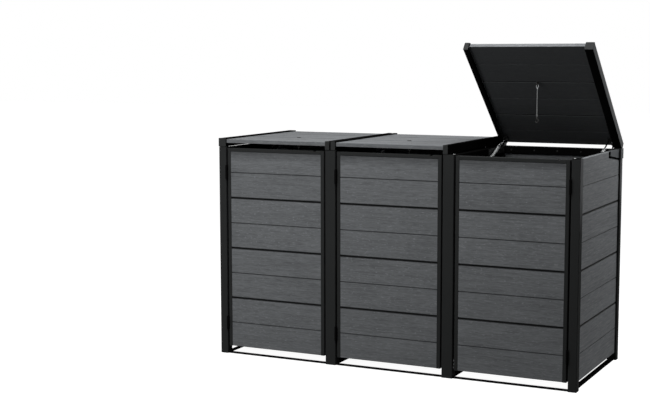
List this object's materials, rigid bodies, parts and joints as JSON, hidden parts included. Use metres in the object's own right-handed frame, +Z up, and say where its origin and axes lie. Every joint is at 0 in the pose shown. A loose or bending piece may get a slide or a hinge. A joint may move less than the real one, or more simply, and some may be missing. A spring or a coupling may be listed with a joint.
{
  "type": "wheelie bin store",
  "caption": "Low outdoor store for wheelie bins: tube frame, grooved board walls, front doors and strut-held lids with pull lines to the bin lids.",
  "frame": {"origin": "middle of the box of the whole store at ground level, with one lid open as stored", "axes": "+X along the row of bays to the right seen from the doors, +Y from the doors to the back, +Z up"},
  "size_m": [2.076, 0.8636, 1.7485],
  "materials": {
    "powder_coat": "black powder coat, satin",
    "composite_board": "wood-plastic composite, embossed grain, dark grey",
    "cap_plastic": "moulded, matt",
    "gusset_paint": "grey powder coat, satin",
    "hinge_steel": "black powder coat, satin",
    "eye_bolt_steel": "zinc plated",
    "strut_black": "black lacquer, smooth",
    "strut_chrome": "hard chrome, ground",
    "cord_grey": "braided polyester",
    "hook_black": "black oxide"
  },
  "bodies": {
    "frame": {"post_front_left": "powder_coat", "post_front_mid_left": "powder_coat", "post_front_mid_right": "powder_coat", "post_front_right": "powder_coat", "post_rear_left": "powder_coat", "post_rear_mid_left": "powder_coat", "post_rear_mid_right": "powder_coat", "post_rear_right": "powder_coat", "base_rails": "powder_coat", "top_rails": "powder_coat", "rear_rails": "powder_coat", "side_boards_left": "composite_board", "side_boards_right": "composite_board", "rear_boards": "composite_board", "corner_gussets": "gusset_paint", "lid_hinge_plates": "hinge_steel", "door_hinge_pins": "powder_coat"},
    "door_left": {"door_left_frame": "powder_coat", "door_left_boards": "composite_board", "door_left_hinge_leaves": "powder_coat"},
    "door_middle": {"door_middle_frame": "powder_coat", "door_middle_boards": "composite_board", "door_middle_hinge_leaves": "powder_coat"},
    "door_right": {"door_right_frame": "powder_coat", "door_right_boards": "composite_board", "door_right_hinge_leaves": "powder_coat"},
    "lid_left": {"lid_left_rails": "powder_coat", "lid_left_rail_caps": "cap_plastic", "lid_left_boards": "composite_board", "lid_left_strut_brackets": "hinge_steel", "lid_left_eye_bolt": "eye_bolt_steel"},
    "strut_left_left_tube": {"strut_left_left_tube": "strut_black"},
    "strut_left_left_rod": {"strut_left_left_rod": "strut_chrome"},
    "strut_left_right_tube": {"strut_left_right_tube": "strut_black"},
    "strut_left_right_rod": {"strut_left_right_rod": "strut_chrome"},
    "pull_left": {"pull_cord_left": "cord_grey", "pull_hook_left": "hook_black"},
    "lid_middle": {"lid_middle_rails": "powder_coat", "lid_middle_rail_caps": "cap_plastic", "lid_middle_boards": "composite_board", "lid_middle_strut_brackets": "hinge_steel", "lid_middle_eye_bolt": "eye_bolt_steel"},
    "strut_middle_left_tube": {"strut_middle_left_tube": "strut_black"},
    "strut_middle_left_rod": {"strut_middle_left_rod": "strut_chrome"},
    "strut_middle_right_tube": {"strut_middle_right_tube": "strut_black"},
    "strut_middle_right_rod": {"strut_middle_right_rod": "strut_chrome"},
    "pull_middle": {"pull_cord_middle": "cord_grey", "pull_hook_middle": "hook_black"},
    "lid_right": {"lid_right_rails": "powder_coat", "lid_right_rail_caps": "cap_plastic", "lid_right_boards": "composite_board", "lid_right_strut_brackets": "hinge_steel", "lid_right_eye_bolt": "eye_bolt_steel"},
    "strut_right_left_tube": {"strut_right_left_tube": "strut_black"},
    "strut_right_left_rod": {"strut_right_left_rod": "strut_chrome"},
    "strut_right_right_tube": {"strut_right_right_tube": "strut_black"},
    "strut_right_right_rod": {"strut_right_right_rod": "strut_chrome"},
    "pull_right": {"pull_cord_right": "cord_grey", "pull_hook_right": "hook_black"}
  },
  "joints": [
    {"name": "door_left_hinge", "type": "hinge", "parent": "frame", "child": "door_left", "pos_m": [-0.9855, -0.42585, 0.6], "axis": [0, 0, -1], "range_deg": [0, 110]},
    {"name": "door_middle_hinge", "type": "hinge", "parent": "frame", "child": "door_middle", "pos_m": [-0.3055, -0.42585, 0.6], "axis": [0, 0, -1], "range_deg": [0, 110]},
    {"name": "door_right_hinge", "type": "hinge", "parent": "frame", "child": "door_right", "pos_m": [0.9855, -0.42585, 0.6], "axis": [0, 0, 1], "range_deg": [0, 110]},
    {"name": "lid_left_hinge", "type": "hinge", "parent": "frame", "child": "lid_left", "pos_m": [-0.68, 0.39465, 1.196], "axis": [-1, 0, 0], "range_deg": [0, 40.5]},
    {"name": "strut_left_left_pivot", "type": "hinge", "parent": "frame", "child": "strut_left_left_tube", "pos_m": [-0.976, 0.12065, 1.124], "axis": [1, 0, 0], "range_deg": [0, 8.53]},
    {"name": "strut_left_left_slide", "type": "slide", "parent": "strut_left_left_tube", "child": "strut_left_left_rod", "axis": [0, 0.9651, 0.262], "range_m": [0, 0.01469]},
    {"name": "strut_left_right_pivot", "type": "hinge", "parent": "frame", "child": "strut_left_right_tube", "pos_m": [-0.384, 0.12065, 1.124], "axis": [1, 0, 0], "range_deg": [0, 8.53]},
    {"name": "strut_left_right_slide", "type": "slide", "parent": "strut_left_right_tube", "child": "strut_left_right_rod", "axis": [0, 0.9651, 0.262], "range_m": [0, 0.01469]},
    {"name": "pull_left_swing", "type": "hinge", "parent": "lid_left", "child": "pull_left", "pos_m": [-0.68, -0.13335, 1.1855], "axis": [-1, 0, 0], "range_deg": [-40.5, 0]},
    {"name": "lid_middle_hinge", "type": "hinge", "parent": "frame", "child": "lid_middle", "pos_m": [0, 0.39465, 1.196], "axis": [-1, 0, 0], "range_deg": [0, 40.5]},
    {"name": "strut_middle_left_pivot", "type": "hinge", "parent": "frame", "child": "strut_middle_left_tube", "pos_m": [-0.296, 0.12065, 1.124], "axis": [1, 0, 0], "range_deg": [0, 8.53]},
    {"name": "strut_middle_left_slide", "type": "slide", "parent": "strut_middle_left_tube", "child": "strut_middle_left_rod", "axis": [0, 0.9651, 0.262], "range_m": [0, 0.01469]},
    {"name": "strut_middle_right_pivot", "type": "hinge", "parent": "frame", "child": "strut_middle_right_tube", "pos_m": [0.296, 0.12065, 1.124], "axis": [1, 0, 0], "range_deg": [0, 8.53]},
    {"name": "strut_middle_right_slide", "type": "slide", "parent": "strut_middle_right_tube", "child": "strut_middle_right_rod", "axis": [0, 0.9651, 0.262], "range_m": [0, 0.01469]},
    {"name": "pull_middle_swing", "type": "hinge", "parent": "lid_middle", "child": "pull_middle", "pos_m": [0, -0.13335, 1.1855], "axis": [-1, 0, 0], "range_deg": [-40.5, 0]},
    {"name": "lid_right_hinge", "type": "hinge", "parent": "frame", "child": "lid_right", "pos_m": [0.68, 0.39465, 1.196], "axis": [-1, 0, 0], "range_deg": [-40.5, 0]},
    {"name": "strut_right_left_pivot", "type": "hinge", "parent": "frame", "child": "strut_right_left_tube", "pos_m": [0.384, 0.12065, 1.124], "axis": [1, 0, 0], "range_deg": [-7.71, 0]},
    {"name": "strut_right_left_slide", "type": "slide", "parent": "strut_right_left_tube", "child": "strut_right_left_rod", "axis": [0, 0.9184, 0.3956], "range_m": [-0.01928, 0]},
    {"name": "strut_right_right_pivot", "type": "hinge", "parent": "frame", "child": "strut_right_right_tube", "pos_m": [0.976, 0.12065, 1.124], "axis": [1, 0, 0], "range_deg": [-7.71, 0]},
    {"name": "strut_right_right_slide", "type": "slide", "parent": "strut_right_right_tube", "child": "strut_right_right_rod", "axis": [0, 0.9184, 0.3956], "range_m": [-0.01928, 0]},
    {"name": "pull_right_swing", "type": "hinge", "parent": "lid_right", "child": "pull_right", "pos_m": [0.68, -0.01366, 1.53092], "axis": [-1, 0, 0], "range_deg": [0, 40.5]}
  ],
  "couplings": [
    {"joint": "strut_left_left_pivot", "follows": "lid_left_hinge", "ratio": 0.21},
    {"joint": "strut_left_left_slide", "follows": "lid_left_hinge", "m_per_rad": 0.02075},
    {"joint": "strut_left_right_pivot", "follows": "lid_left_hinge", "ratio": 0.21},
    {"joint": "strut_left_right_slide", "follows": "lid_left_hinge", "m_per_rad": 0.02075},
    {"joint": "pull_left_swing", "follows": "lid_left_hinge", "ratio": -1},
    {"joint": "strut_middle_left_pivot", "follows": "lid_middle_hinge", "ratio": 0.21},
    {"joint": "strut_middle_left_slide", "follows": "lid_middle_hinge", "m_per_rad": 0.02075},
    {"joint": "strut_middle_right_pivot", "follows": "lid_middle_hinge", "ratio": 0.21},
    {"joint": "strut_middle_right_slide", "follows": "lid_middle_hinge", "m_per_rad": 0.02075},
    {"joint": "pull_middle_swing", "follows": "lid_middle_hinge", "ratio": -1},
    {"joint": "strut_right_left_pivot", "follows": "lid_right_hinge", "ratio": 0.19},
    {"joint": "strut_right_left_slide", "follows": "lid_right_hinge", "m_per_rad": 0.02725},
    {"joint": "strut_right_right_pivot", "follows": "lid_right_hinge", "ratio": 0.19},
    {"joint": "strut_right_right_slide", "follows": "lid_right_hinge", "m_per_rad": 0.02725},
    {"joint": "pull_right_swing", "follows": "lid_right_hinge", "ratio": -1}
  ]
}
